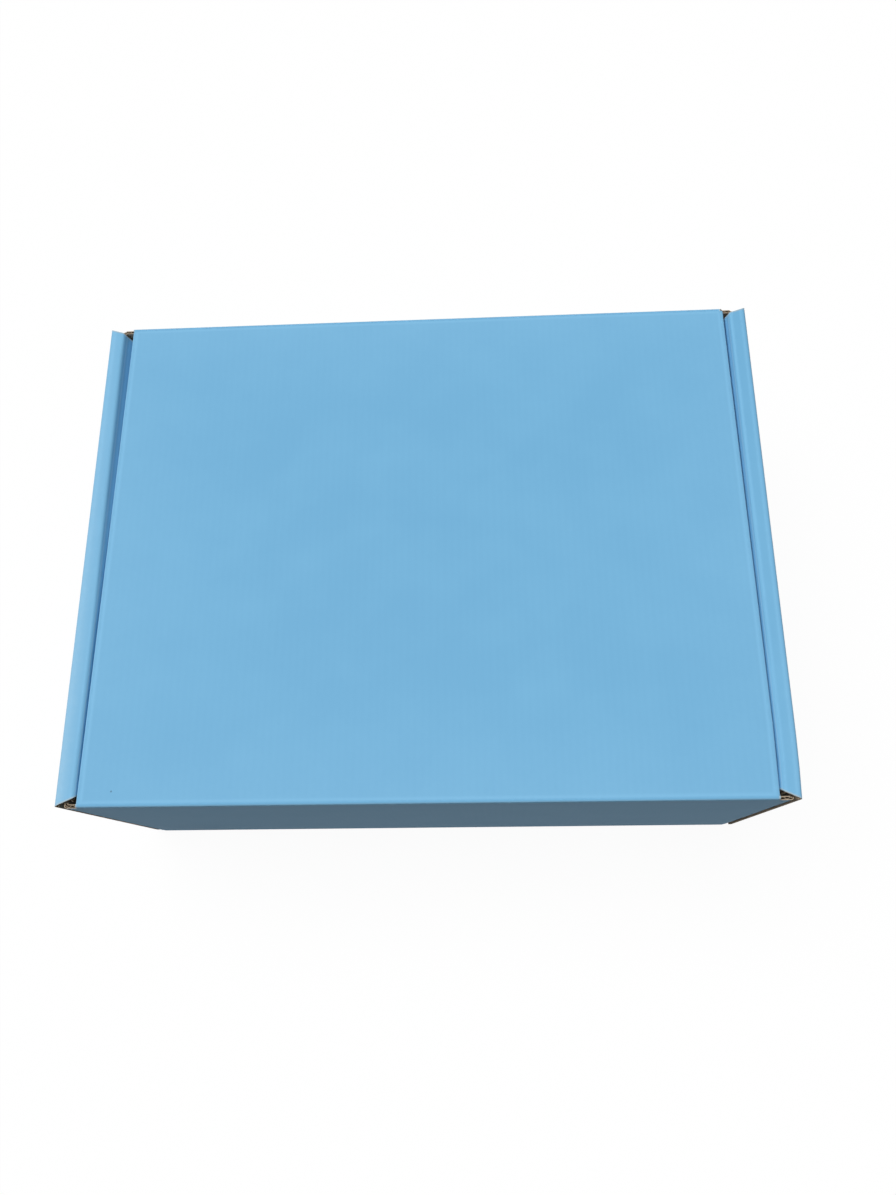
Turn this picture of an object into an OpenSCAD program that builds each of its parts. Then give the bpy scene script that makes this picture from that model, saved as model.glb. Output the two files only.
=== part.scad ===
// Corrugated mailer box, closed, folded from one sheet of thin fluted board.
// The side walls are rolled: each goes up, over and down again inside, with its
// lower edge locked in the floor by tabs. The lid drops between the two rolls.
// Its front flap hangs outside the front wall, with an ear tucked into each roll.
// Origin at the centre of the underside, +X to the right, +Y to the back, +Z up.

/* [Box] */
// Outside width, over the two side walls
box_w = 316; // [240:1:420]
// Outside depth, from the front flap's face to the back wall's face
box_d = 237; // [190:1:320]
// Outside height
box_h = 129; // [100:1:180]

/* [Board] */
// Thickness of the board
board_t = 1.6; // [1.3:0.1:1.8]
// Outside radius of a crease folded to a right angle
crease_r = 1.1; // [0.6:0.1:1.2]
// Gap between two panels that lie side by side in a roll
panel_gap = 0.2; // [0.1:0.05:0.3]
// Gap that a panel keeps from what it swings past
swing_gap = 0.3; // [0.2:0.05:0.5]

/* [Rolled side walls] */
// Width of the flat top of each roll at the front
roll_w = 9; // [8.2:0.1:12]
// Width of the flat top of each roll at the back
roll_back_w = 10; // [9:0.1:14]
// Outside radius of the roll's inner edge, which is folded softer than the rest
roll_r = 3; // [2:0.1:3.2]
// How far the front edges of the side walls stand back from the flap's face
side_setback = 0.9; // [0.5:0.1:1.4]
// Room between the front wall and the cut end of the roll
roll_front_gap = 0.5; // [0.4:0.1:4]
// Room between the back wall and the cut end of the roll
roll_back_gap = 3.1; // [1:0.1:10]
// Length of each locking tab under an inner side wall
tab_l = 44; // [25:1:60]
// Distance between the centres of a side's two locking tabs
tab_pitch = 118; // [90:1:140]
// Clearance all round a locking tab in its slot
tab_gap = 0.3; // [0.2:0.05:0.6]

/* [Front and back walls] */
// Room between the front flap and the front wall behind it
front_gap = 0.9; // [0.3:0.1:2]
// Length of the corner flaps that the front and back walls fold into the rolls
corner_flap_l = 72; // [40:1:85]
// How far the free end of a corner flap is cut to a slant
corner_flap_slant = 14; // [4:1:24]
// Outside radius of the upright fold into a corner flap
corner_fold_r = 2.8; // [2:0.1:4]
// Width of the relief nick beside each upper corner of the front wall
nick_w = 2; // [1:0.5:4]
// Depth of the relief nick
nick_h = 5; // [2:0.5:8]

/* [Lid] */
// Room between the lid and each roll at the front
lid_gap_front = 0.4; // [0.3:0.1:2]
// Room between the lid and each roll at the back
lid_gap_back = 1.2; // [0.4:0.1:4]
// Depth of the dust flaps that the lid folds down inside the tray
dust_flap_h = 64; // [30:1:90]
// Corner radius of the dust flaps
dust_flap_r = 20; // [8:1:28]
// How far the back end of a dust flap is cut to a slant
dust_flap_slant = 16; // [4:1:30]

/* [Front flap] */
// Height of the flap's lower edge above the table
flap_lift = 0.9; // [0.4:0.1:6]
// Height of the ears' lower edge above the tray's floor
ear_lift = 3; // [1:0.5:20]
// Radius of the ears' lower back corner
ear_r = 12; // [4:1:16]

/* [Hidden] */
PRINTED = "#6f9fc0";
small_fn = 48;
arc_steps = 12;
bite = 0.2;                             // overlap that joins two stretches of the sheet
half_w = box_w / 2;
front_y = -box_d / 2;
back_y = box_d / 2;
rim_z = box_h - board_t;                // underside of the rolls and the lid
wall_top_z = rim_z - swing_gap;         // cut top edge of the front and back walls
corner_flap_z = wall_top_z - 2 * swing_gap; // top of their corner flaps, below the roll's bend
pivot_z = box_h - board_t / 2;          // mid-thickness of the lid
back_pivot_y = back_y - board_t / 2;
front_pivot_y = front_y + board_t / 2;

// How far each layer of a roll stands in from the side wall's outer face
inner_wall_u = roll_w - board_t;
corner_flap_u = inner_wall_u - panel_gap - board_t;
ear_u = corner_flap_u - panel_gap - board_t;

// How far the front wall and the ends of the roll stand back from the front
front_wall_v = board_t + front_gap;
front_wall_inner_v = front_wall_v + board_t;
roll_front_v = front_wall_inner_v + roll_front_gap;
roll_back_v = board_t + roll_back_gap;

// The inner wall's ends also clear the round of the folds into the corner flaps
inner_wall_front_v = max(roll_front_v, front_wall_v + corner_fold_r);
inner_wall_back_v = max(roll_back_v, corner_fold_r);

roll_taper = atan((roll_back_w - roll_w) / box_d);
lid_half_front = half_w - roll_w - lid_gap_front;
lid_half_back = half_w - roll_back_w - lid_gap_back;
lid_taper = atan((lid_half_front - lid_half_back) / box_d);
lid_l = box_d - board_t;                // from crease to crease
dust_reach = back_pivot_y - front_y - front_wall_inner_v - swing_gap;

flap_half = half_w - ear_u;
corner_fold_x = half_w - corner_flap_u - corner_fold_r; // where an end wall starts to bend
ear_z = board_t + ear_lift;

// Points along an arc about the centre c, from one angle to another
function arc(c, r, from, to) =
    [for (i = [0:arc_steps])
        let (a = from + (to - from) * i / arc_steps)
        c + r * [cos(a), sin(a)]];

// A right-angled crease seen end on: square inside and rounded outside
module crease_corner(r) {
    intersection() {
        square([board_t, board_t]);
        union() {
            square([board_t, board_t - r]);
            square([board_t - r, board_t]);
            translate([board_t - r, board_t - r])
                circle(r = r, $fn = small_fn);
        }
    }
}

// A softer crease, for an outside radius larger than the board is thick
module soft_corner(r) {
    intersection() {
        difference() {
            circle(r = r, $fn = small_fn);
            circle(r = r - board_t, $fn = small_fn);
        }
        square([r, r]);
    }
}

// Draws its 2D children, given in Y and Z, as a panel one board thick from x on
module side_panel(x) {
    translate([x, 0, 0])
        rotate([90, 0, 90])
            linear_extrude(height = board_t)
                children();
}

// Draws its 2D children, given in X and Z, as a bar from y_low to y_high
module bar_along_y(y_low, y_high) {
    translate([0, y_high, 0])
        rotate([90, 0, 0])
            linear_extrude(height = y_high - y_low)
                children();
}

// Draws its 2D children, given in Y and Z, as a bar across the middle of the box
module bar_along_x(half_length) {
    translate([-half_length, 0, 0])
        rotate([90, 0, 90])
            linear_extrude(height = 2 * half_length)
                children();
}

module both_sides() {
    children();
    mirror([1, 0, 0])
        children();
}

// Turns its children, made along a straight right edge at x = 0, to a taper. The edge
// then passes x at the back of the box. The point that they turn about is level with
// the rim, so that the faces there stay flush with those beside them.
module along_taper(x, taper) {
    translate([x, back_y, rim_z])
        rotate([0, 0, taper])
            translate([0, -back_y, -rim_z])
                children();
}

// The right outer side wall, with the crease at its foot
module outer_wall() {
    bar_along_y(front_y + side_setback, back_y) {
        translate([half_w - board_t, board_t - bite])
            square([board_t, rim_z - board_t + bite]);
        translate([half_w - board_t, board_t])
            mirror([0, 1])
                crease_corner(crease_r);
    }
}

// The fold from the right outer wall into the top of its roll
module roll_fold_section() {
    translate([half_w - board_t, rim_z - bite])
        square([board_t, 2 * bite]);
    translate([half_w - board_t, rim_z])
        crease_corner(crease_r);
}

// The roll's top and the inner wall that hangs from it, its inner face at x = 0
module roll_section() {
    translate([roll_r, rim_z])
        square([roll_back_w - roll_r, board_t]);
    translate([roll_r, box_h - roll_r])
        mirror([1, 0])
            soft_corner(roll_r);
    translate([0, board_t + panel_gap])
        square([board_t, box_h - roll_r - board_t - panel_gap]);
}

// Plan of the roll's top, its two ends cut to a slant from the outer corners. The
// front end leaves room for the flap and its ear to come up past it. The cuts run on
// past the roll's inner edge.
module roll_plan() {
    run_on = 1.5;
    front_cut = (roll_front_v - side_setback) / roll_w;
    back_cut = roll_back_v / roll_back_w;
    polygon([
        [half_w, front_y + side_setback],
        [half_w, back_y],
        [half_w - run_on * roll_back_w, back_y - run_on * roll_back_w * back_cut],
        [
            half_w - run_on * roll_back_w,
            front_y + side_setback + run_on * roll_back_w * front_cut
        ]
    ]);
}

// Plan of the inner wall under the roll's top, its two ends cut square
module inner_wall_plan() {
    translate([0, front_y + inner_wall_front_v])
        square([half_w, box_d - inner_wall_front_v - inner_wall_back_v]);
}

// The roll before its ends are cut
module whole_roll() {
    bar_along_y(front_y, back_y)
        roll_fold_section();
    intersection() {
        along_taper(half_w - roll_back_w, roll_taper)
            bar_along_y(front_y - board_t, back_y + board_t)
                roll_section();
        translate([0, front_y, 0])
            cube([half_w - board_t + bite, box_d, box_h]);
    }
}

module locking_tab(y) {
    translate([0, y - tab_l / 2, panel_gap])
        cube([board_t, tab_l, board_t + bite]);
}

module tab_slot(y) {
    translate([-tab_gap, y - tab_l / 2 - tab_gap, -bite])
        cube([board_t + 2 * tab_gap, tab_l + 2 * tab_gap, board_t + 2 * bite]);
}

module roll() {
    intersection() {
        whole_roll();
        union() {
            translate([0, 0, rim_z])
                linear_extrude(height = board_t)
                    roll_plan();
            linear_extrude(height = rim_z)
                inner_wall_plan();
        }
    }
    along_taper(half_w - roll_back_w, roll_taper)
        for (y = [-tab_pitch / 2, tab_pitch / 2])
            locking_tab(y);
}

// Floor from crease to crease, with the slots for the tabs. At its four corners a
// strip runs on past the creases of the end walls.
module floor() {
    color(PRINTED)
        difference() {
            union() {
                translate([-half_w + board_t, front_y + front_wall_inner_v, 0])
                    cube([box_w - 2 * board_t, box_d - front_wall_inner_v - board_t, board_t]);
                both_sides()
                    translate([half_w - corner_flap_u, front_y + front_wall_v, 0])
                        cube([corner_flap_u - board_t, box_d - front_wall_v, board_t]);
            }
            both_sides()
                along_taper(half_w - roll_back_w, roll_taper)
                    for (y = [-tab_pitch / 2, tab_pitch / 2])
                        tab_slot(y);
        }
}

module right_wall() {
    color(PRINTED) {
        outer_wall();
        roll();
    }
}

module left_wall() {
    mirror([1, 0, 0])
        right_wall();
}

// Upright end wall, seen from the side, with the crease at its foot.
// The outer face is at y = 0 and the box lies on the side of +y.
module end_wall_section() {
    translate([0, board_t - bite])
        square([board_t, wall_top_z - board_t + bite]);
    translate([board_t, board_t])
        rotate([0, 0, 180])
            crease_corner(crease_r);
}

// Plan of the right-hand fold from an end wall into its corner flap
module corner_fold_plan() {
    translate([corner_fold_x - bite, 0])
        square([bite, board_t]);
    translate([corner_fold_x, corner_fold_r])
        mirror([0, 1])
            soft_corner(corner_fold_r);
}

// Outline of a corner flap in Y and Z, its free end slanted above and below
module corner_flap_outline() {
    low_z = board_t + swing_gap;
    polygon([
        [corner_fold_r - bite, low_z],
        [corner_flap_l - corner_flap_slant, low_z],
        [corner_flap_l, low_z + corner_flap_slant],
        [corner_flap_l, corner_flap_z - corner_flap_slant],
        [corner_flap_l - corner_flap_slant, corner_flap_z],
        [corner_fold_r - bite, corner_flap_z]
    ]);
}

// A whole end wall with its two corner flaps, its outer face at y = 0
module end_wall() {
    bar_along_x(corner_fold_x)
        end_wall_section();
    both_sides() {
        translate([0, 0, board_t + swing_gap])
            linear_extrude(height = corner_flap_z - board_t - swing_gap)
                corner_fold_plan();
        side_panel(half_w - corner_flap_u - board_t)
            corner_flap_outline();
    }
}

// The cut-outs that part the front wall's top edge from its upper corners
module relief_nicks() {
    both_sides()
        translate([corner_fold_x - nick_w, -bite, wall_top_z - nick_h])
            cube([nick_w, board_t + 2 * bite, nick_h + bite]);
}

module front_wall() {
    color(PRINTED)
        translate([0, front_y + front_wall_v, 0])
            difference() {
                end_wall();
                relief_nicks();
            }
}

module back_wall() {
    color(PRINTED)
        translate([0, back_y, 0])
            mirror([0, 1, 0])
                end_wall();
}

// Outline of the right dust flap in Y and Z. Its front edge follows a circle about
// the back crease, so that it swings up clear of the front wall.
module dust_flap_outline() {
    low_z = rim_z - dust_flap_h;
    y_back = back_y - board_t - swing_gap;
    pivot = [back_pivot_y, pivot_z];
    corner_drop = pivot_z - low_z - dust_flap_r;
    corner_reach = sqrt(pow(dust_reach - dust_flap_r, 2) - corner_drop * corner_drop);
    corner_angle = 180 + asin(corner_drop / (dust_reach - dust_flap_r));
    top_angle = 180 + asin((pivot_z - rim_z - bite) / dust_reach);
    polygon(concat(
        arc(pivot, dust_reach, top_angle, corner_angle),
        arc(pivot - [corner_reach, corner_drop], dust_flap_r, corner_angle, 270),
        [
            [y_back - dust_flap_slant, low_z],
            [y_back, rim_z - bite],
            [y_back, rim_z + bite]
        ]
    ));
}

// Half the lid's width at a depth y
function lid_half(y) = lid_half_back + (back_y - y) * tan(lid_taper);

// Plan of the lid between its side creases, run on past both of its ends
module lid_plan() {
    crease_overlap = (board_t + crease_r) / 2;
    polygon([
        [-lid_half(front_y) + crease_overlap, front_y],
        [lid_half(front_y) - crease_overlap, front_y],
        [lid_half(back_y) - crease_overlap, back_y],
        [-lid_half(back_y) + crease_overlap, back_y]
    ]);
}

// The lid seen from its side: round along the creases that it turns about
module lid_section() {
    for (y = [front_pivot_y, back_pivot_y])
        translate([y, pivot_z])
            circle(r = board_t / 2, $fn = small_fn);
    translate([front_pivot_y, rim_z])
        square([lid_l, board_t]);
}

module lid_top() {
    intersection() {
        bar_along_x(half_w)
            lid_section();
        union() {
            translate([0, 0, rim_z])
                linear_extrude(height = board_t)
                    lid_plan();
            both_sides()
                along_taper(lid_half_back, lid_taper)
                    bar_along_y(front_y - board_t, back_y + board_t)
                        translate([-board_t, rim_z])
                            crease_corner(crease_r);
        }
    }
}

module dust_flap() {
    along_taper(lid_half_back, lid_taper)
        side_panel(-board_t)
            dust_flap_outline();
}

module lid() {
    color(PRINTED) {
        lid_top();
        both_sides()
            dust_flap();
    }
}

// Outline of an ear in Y and Z. Its back edge follows a circle about the back
// crease, so that it rises past the roll's cut end as the lid opens. Its lower edge
// follows a circle about the front crease, so that it swings out clear of the floor.
module ear_outline() {
    front_pivot = [front_pivot_y, pivot_z];
    back_pivot = [back_pivot_y, pivot_z];
    lower_r = pivot_z - ear_z;
    back_r = back_pivot_y - front_y - board_t;
    corner_lower_r = lower_r - ear_r;
    corner_back_r = back_r + ear_r;
    corner_run = (pow(corner_lower_r, 2) - pow(corner_back_r, 2) + lid_l * lid_l) / (2 * lid_l);
    lower_angle = -acos(corner_run / corner_lower_r);
    corner = front_pivot + corner_lower_r * [cos(lower_angle), sin(lower_angle)];
    back_angle = asin((corner[1] - pivot_z) / corner_back_r);
    join_y = front_y + board_t - bite;
    polygon(concat(
        [[join_y, wall_top_z]],
        arc(back_pivot, back_r, 180 + asin((pivot_z - wall_top_z) / back_r), 180 - back_angle),
        arc(corner, ear_r, -back_angle, lower_angle),
        arc(front_pivot, lower_r, lower_angle, asin((join_y - front_pivot_y) / lower_r) - 90)
    ));
}

// Plan of the right-hand fold from the flap into its ear
module flap_corner_plan() {
    translate([flap_half - board_t, front_y + board_t])
        mirror([0, 1])
            crease_corner(crease_r);
}

module front_flap() {
    color(PRINTED) {
        translate([-flap_half + board_t - bite, front_y, flap_lift])
            cube([2 * (flap_half - board_t + bite), board_t, wall_top_z - flap_lift]);
        both_sides() {
            translate([0, 0, ear_z])
                linear_extrude(height = wall_top_z - ear_z)
                    flap_corner_plan();
            side_panel(flap_half - board_t)
                ear_outline();
        }
    }
}

floor();
left_wall();
right_wall();
front_wall();
back_wall();
lid();
front_flap();
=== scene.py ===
# %% [markdown]
# # A folded mailer box in fluted board
#
# The real box is one sheet of thin fluted board, printed light blue on the outside
# and brown inside, that is die-cut flat, creased and folded. The CAD model already
# says where every panel lies. A box could be dressed by painting those solids, but
# solid board looks like plastic at every cut edge. So this lesson makes each panel
# again from the three papers of real fluted board, cut flat and folded in the same
# order as on a folding table, and lets the worn ink, the painted highlights, the soft
# folds and the small unevenness of handwork come from where each point lies on the
# sheet.

# %% Load the frame
import math

import bmesh
import bpy
from mathutils import Matrix, Vector


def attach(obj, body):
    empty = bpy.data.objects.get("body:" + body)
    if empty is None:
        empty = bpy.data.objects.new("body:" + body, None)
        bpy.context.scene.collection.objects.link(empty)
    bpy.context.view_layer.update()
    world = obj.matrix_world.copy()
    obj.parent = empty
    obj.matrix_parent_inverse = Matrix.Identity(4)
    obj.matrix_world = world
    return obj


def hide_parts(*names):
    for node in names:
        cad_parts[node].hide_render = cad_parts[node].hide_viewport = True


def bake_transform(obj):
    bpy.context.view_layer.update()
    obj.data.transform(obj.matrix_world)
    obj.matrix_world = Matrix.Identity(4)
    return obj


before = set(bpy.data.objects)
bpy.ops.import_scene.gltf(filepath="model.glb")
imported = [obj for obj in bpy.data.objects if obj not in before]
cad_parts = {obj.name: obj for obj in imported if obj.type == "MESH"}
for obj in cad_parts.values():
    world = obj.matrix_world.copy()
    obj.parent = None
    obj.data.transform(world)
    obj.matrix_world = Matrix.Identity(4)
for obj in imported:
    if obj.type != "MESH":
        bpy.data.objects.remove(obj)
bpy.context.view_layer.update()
MM = 0.001

# %% [markdown]
# ## The camera
#
# The photograph looks steeply down on the lid from a little in front of the box, so
# that the lid fills the frame and the front flap is a narrow dark band below it. A
# camera could be placed by eye, but the six visible corners of the box fix its place
# and its lens much more closely, so the figures of that fit are written down here.

# %% Camera
lens = bpy.data.cameras.new("photo_lens")
lens.lens = 28.377
lens.sensor_width = 36
camera = bpy.data.objects.new("photo_camera", lens)
camera.location = (0.03082, -0.15901, 0.53045)
camera.rotation_euler = [math.radians(a) for a in (18.071, 2.886, -0.370)]
bpy.context.collection.objects.link(camera)
scene = bpy.context.scene
scene.camera = camera
scene.view_settings.view_transform = "Standard"
print("camera", tuple(round(v, 3) for v in camera.location), "lens", lens.lens)

# %% [markdown]
# ## Shader arithmetic
#
# A procedural finish is mostly sums of noises, waves and distances. They could be
# wired node by node, but a sum is easier to read as a sum. One small class wraps a
# socket and adds a Math node for each sign, and one method adds any other node, with
# its settings first and then the values or links of its sockets.


# %% Wire and Finish
class Wire:
    """A value in a node tree that can be added, subtracted and multiplied."""

    def __init__(self, finish, socket):
        self.finish, self.socket = finish, socket

    def maths(self, operation, first, second):
        return self.finish.node("ShaderNodeMath", {"operation": operation}, {0: first, 1: second})

    def __add__(self, other):
        return self.maths("ADD", self, other)

    def __sub__(self, other):
        return self.maths("SUBTRACT", self, other)

    def __mul__(self, other):
        return self.maths("MULTIPLY", self, other)

    def __rsub__(self, other):
        return self.maths("SUBTRACT", other, self)

    __radd__ = __add__
    __rmul__ = __mul__


class Finish:
    """The node tree of a material or of the world, with its nodes made by type."""

    def __init__(self, owner):
        owner.use_nodes = True
        self.owner, self.tree = owner, owner.node_tree

    def node(self, kind, settings=None, sockets=None, output=0):
        made = self.tree.nodes.new(kind)
        for key, value in (settings or {}).items():
            setattr(made, key, value)
        for key, value in (sockets or {}).items():
            self.feed(made.inputs[key], value)
        return Wire(self, made.outputs[output])

    def feed(self, socket, value):
        if isinstance(value, Wire):
            self.tree.links.new(value.socket, socket)
        else:
            socket.default_value = value

    def relief(self, height, strength, distance):
        """Bends the light at the surface as if it stood up and down by height."""
        sockets = {"Strength": strength, "Distance": distance, "Height": height}
        return self.node("ShaderNodeBump", {}, sockets)

    def give(self, node_name, **values):
        """Sets or links the inputs of a node that Blender made with the tree."""
        for key, value in values.items():
            self.feed(self.tree.nodes[node_name].inputs[key.replace("_", " ")], value)


# %% [markdown]
# ## Words for a finish
#
# Every paper of the box is described with the same few words: clouds of noise, bands
# between two values, ridges about one value, and numbers stored on the sheet. Each
# material could be wired out in full, but as functions these words let a finish read
# like the sentence that describes it.


# %% Words for a finish
def cloud(finish, where, scale, detail, rough=0.5):
    """Smooth noise about 0.5, its lumps about 1 / scale metres across."""
    return finish.node(
        "ShaderNodeTexNoise",
        {"noise_dimensions": "3D"},
        {"Vector": where, "Scale": scale, "Detail": detail, "Roughness": rough},
    )


def band(finish, value, low, high):
    """0 at low, 1 at high, a straight slope between, and level beyond both."""
    sockets = {"Value": value, "From Min": low, "From Max": high}
    return finish.node("ShaderNodeMapRange", {}, sockets)


def ridge(finish, value, centre, reach):
    """1 where the value is the centre, 0 when it is reach away."""
    away = finish.node("ShaderNodeMath", {"operation": "ABSOLUTE"}, {0: value - centre})
    return band(finish, away, reach, 0)


def mixed(finish, factor, first, second):
    return finish.node(
        "ShaderNodeMix",
        {"data_type": "RGBA"},
        {"Factor": factor, 6: first, 7: second},
        output=2,
    )


def on_sheet(finish, name):
    """A number that was stored at each point of the sheet."""
    return finish.node("ShaderNodeAttribute", {"attribute_name": name}, output=2)


# %% [markdown]
# ## The light-blue print
#
# The print is a flat, matt ink on a paper liner. A single colour would look like
# plastic, so the finish adds what the real one shows: the cloudy look of paper under
# ink, a faint banding where the flutes show through, and the fine tooth of the paper.
# A painted highlight runs as a pale line two millimetres beside each fold, standing
# in for the light on the small ridge that the crease raises, and the fold's own edge
# is worn paler. Where the die cut through, a narrow rim of ink is broken. Painted
# highlights also lie along the rolls' outer edges and the lid's edges. Painting these
# marks by place would slide when the box is refolded, so they read the distances to
# folds and cuts, and the amount of highlight, kept on the sheet itself.
# Each cloud is given as its scale per metre, its detail and its roughness, and the
# numbers in a sum are the shares of its clouds.

# %% Colours and marks of the print
FLUTE_PITCH = 3.3 * MM
PRINT_SHEEN = 0.12
PRINT_BLUE = (0.183, 0.463, 0.715, 1)
PRINT_DEEP = (0.170, 0.441, 0.692, 1)
# Colours of the painted highlights; the second also colours the worn edges of folds.
PRINT_HIGHLIGHT = (0.235, 0.545, 0.820, 1)
PRINT_RUB_AND_HIGHLIGHT = (0.330, 0.575, 0.775, 1)
PRINT_BROKEN = (0.420, 0.520, 0.570, 1)
SPECK, SPECK_SHARE = (0.060, 0.110, 0.160, 1), 0.6
SPECK_PLACE, SPECK_R = (-133.6 * MM, -111.8 * MM, 129 * MM), 0.5 * MM
MOTTLE, PATCHES = (38, 5, 0.6), (9, 2, 0.5)
FIBRE, WANDER = (1500, 3, 0.6), (420, 4, 0.5)
DEEP_TO_BLUE = 0.70, 1.12
PRINT_ROUGH, PRINT_ROUGHER = 0.52, 0.12
FOLD_WANDER, CUT_WANDER = 0.5 * MM, 0.6 * MM
# Where and how strongly the painted highlight beside each fold lies.
HIGHLIGHT_LINE, HIGHLIGHT_REACH, HIGHLIGHT_SHARE = 2.2 * MM, 1.1 * MM, 0.55
RUBBED_FROM, RUBBED_TO = 0.7 * MM, 0.1 * MM
BROKEN_FROM, BROKEN_TO, BROKEN_SHARE = 0.8 * MM, 0.4 * MM, 0.7
# How far the painted highlight on the rolls and the lid pales the print.
HIGHLIGHT_STRENGTH = 0.8
PRINT_RELIEF, PRINT_RELIEF_H = 0.30, 0.06 * MM
print("print", [round(c, 2) for c in PRINT_BLUE[:3]], "pale line at", HIGHLIGHT_LINE / MM, "mm")


# %% The print
def washboard(finish):
    """The height of the flutes under the liner, from -1 to 1."""
    blank = finish.node("ShaderNodeUVMap", {"uv_map": "blank"})
    turn = finish.node("ShaderNodeSeparateXYZ", {}, {0: blank}) * (2 * math.pi / FLUTE_PITCH)
    return finish.node("ShaderNodeMath", {"operation": "SINE"}, {0: turn})


def printed_finish():
    finish = Finish(bpy.data.materials.new("light_blue_print"))
    place = finish.node("ShaderNodeTexCoord", output=3)
    flutes = washboard(finish)
    mottle, patches = cloud(finish, place, *MOTTLE), cloud(finish, place, *PATCHES)
    fibre, wander = cloud(finish, place, *FIBRE), cloud(finish, place, *WANDER)
    tone = band(finish, mottle + patches * 0.8 + flutes * 0.045, *DEEP_TO_BLUE)
    colour = mixed(finish, tone, PRINT_DEEP, PRINT_BLUE)

    fold = on_sheet(finish, "crease")
    fold = fold.maths("MINIMUM", fold, on_sheet(finish, "hem"))
    fold = fold + wander * FOLD_WANDER - FOLD_WANDER / 2
    cut = on_sheet(finish, "cut") + wander * CUT_WANDER - CUT_WANDER / 2
    # Painted highlight: a pale line beside each fold.
    fold_highlight = ridge(finish, fold, HIGHLIGHT_LINE, HIGHLIGHT_REACH) * HIGHLIGHT_SHARE
    colour = mixed(finish, fold_highlight, colour, PRINT_HIGHLIGHT)
    # Painted highlight along the rolls' outer edges and the lid's edges, from the stored number.
    wear = on_sheet(finish, "wear") * (0.8 + 0.4 * wander)
    colour = mixed(finish, wear * HIGHLIGHT_STRENGTH, colour, PRINT_HIGHLIGHT)
    # Worn fold edges, and the strongest painted highlight, take the pale grey-blue colour.
    rub_and_highlight = band(finish, fold, RUBBED_FROM, RUBBED_TO) * (0.25 + 0.5 * wander)
    rub_and_highlight = rub_and_highlight.maths("MAXIMUM", rub_and_highlight, wear * wear)
    colour = mixed(finish, rub_and_highlight, colour, PRINT_RUB_AND_HIGHLIGHT)
    broken = band(finish, cut, BROKEN_FROM, BROKEN_TO) * BROKEN_SHARE
    colour = mixed(finish, broken, colour, PRINT_BROKEN)
    away = finish.node(
        "ShaderNodeVectorMath", {"operation": "DISTANCE"}, {0: place, 1: SPECK_PLACE}, output=1
    )
    on_speck = band(finish, away, SPECK_R, 0.6 * SPECK_R) * SPECK_SHARE
    colour = mixed(finish, on_speck, colour, SPECK)

    height = flutes * 0.35 + fibre * 0.30 + mottle * 0.6
    bump = finish.relief(height, PRINT_RELIEF, PRINT_RELIEF_H)
    rough = PRINT_ROUGH + fibre * PRINT_ROUGHER
    finish.give("Principled BSDF", Base_Color=colour, Roughness=rough, Normal=bump)
    finish.give("Principled BSDF", Specular_IOR_Level=PRINT_SHEEN)
    return finish.owner


# %% [markdown]
# ## Bare paper
#
# Inside, at every cut edge and on the fluting, the board is plain brown paper: short
# fibres in slightly different browns, a few dark specks and no gloss. Each paper could
# have a finish of its own, but one recipe with two shades serves all of them. The
# fluting is recycled paper and a shade darker than the liner, which also draws the
# waves at a cut edge apart from the two liners.

# %% Brown papers
KRAFT_SHEEN = 0.12
LINER_PALE, LINER_DARK = (0.610, 0.500, 0.380, 1), (0.480, 0.382, 0.275, 1)
FLUTING_PALE, FLUTING_DARK = (0.450, 0.365, 0.265, 1), (0.330, 0.262, 0.188, 1)
FIBRE_DRAWN_OUT = (1, 0.4, 0.4)
LONG_FIBRE, SHADES, DARK_SPECKS = (1100, 6, 0.65), (60, 4, 0.6), (700, 1, 0.5)
DARK_TO_PALE, SPECKS_ABOVE = (0.38, 0.72), (0.68, 0.74)
DARK_SPECK_SHARE, DARKER = 0.35, 0.6
KRAFT_ROUGH, KRAFT_ROUGHER = 0.74, 0.18
KRAFT_RELIEF, KRAFT_RELIEF_H = 0.35, 0.08 * MM


def kraft_finish(name, pale, dark):
    finish = Finish(bpy.data.materials.new(name))
    place = finish.node("ShaderNodeTexCoord", output=3)
    flutes = washboard(finish)
    drawn_out = finish.node("ShaderNodeMapping", {}, {"Vector": place, "Scale": FIBRE_DRAWN_OUT})
    fibre = cloud(finish, drawn_out, *LONG_FIBRE)
    mottle = cloud(finish, place, *SHADES)
    specks = band(finish, cloud(finish, place, *DARK_SPECKS), *SPECKS_ABOVE)
    tone = band(finish, fibre * 0.75 + mottle * 0.35 + flutes * 0.05, *DARK_TO_PALE)
    colour = mixed(finish, tone, dark, pale)
    speck_colour = tuple(c * DARKER for c in dark[:3]) + (1,)
    colour = mixed(finish, specks * DARK_SPECK_SHARE, colour, speck_colour)
    height = flutes * 0.4 + fibre * 0.5
    bump = finish.relief(height, KRAFT_RELIEF, KRAFT_RELIEF_H)
    rough = KRAFT_ROUGH + fibre * KRAFT_ROUGHER
    finish.give("Principled BSDF", Base_Color=colour, Roughness=rough, Normal=bump)
    finish.give("Principled BSDF", Specular_IOR_Level=KRAFT_SHEEN)
    return finish.owner


PRINT = printed_finish()
KRAFT = kraft_finish("brown_liner", LINER_PALE, LINER_DARK)
MEDIUM = kraft_finish("fluting_paper", FLUTING_PALE, FLUTING_DARK)
print("finishes:", PRINT.name, KRAFT.name, MEDIUM.name)

# %% [markdown]
# ## The board's three papers
#
# Fluted board is an outer liner, a wavy medium and an inner liner. It could be one
# slab with a striped edge, but then no cut edge would look right from close by. So
# each paper is its own thin shell. A grid is added flat, with one column of points
# for each place where the paper bends, and its columns are moved to their places on
# the sheet, as a die cuts it. A `Blank` holds the distances between the folds of one
# strip and says where the columns of each paper go, because a paper on the inside of
# a fold is shorter than one on the outside.

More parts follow.
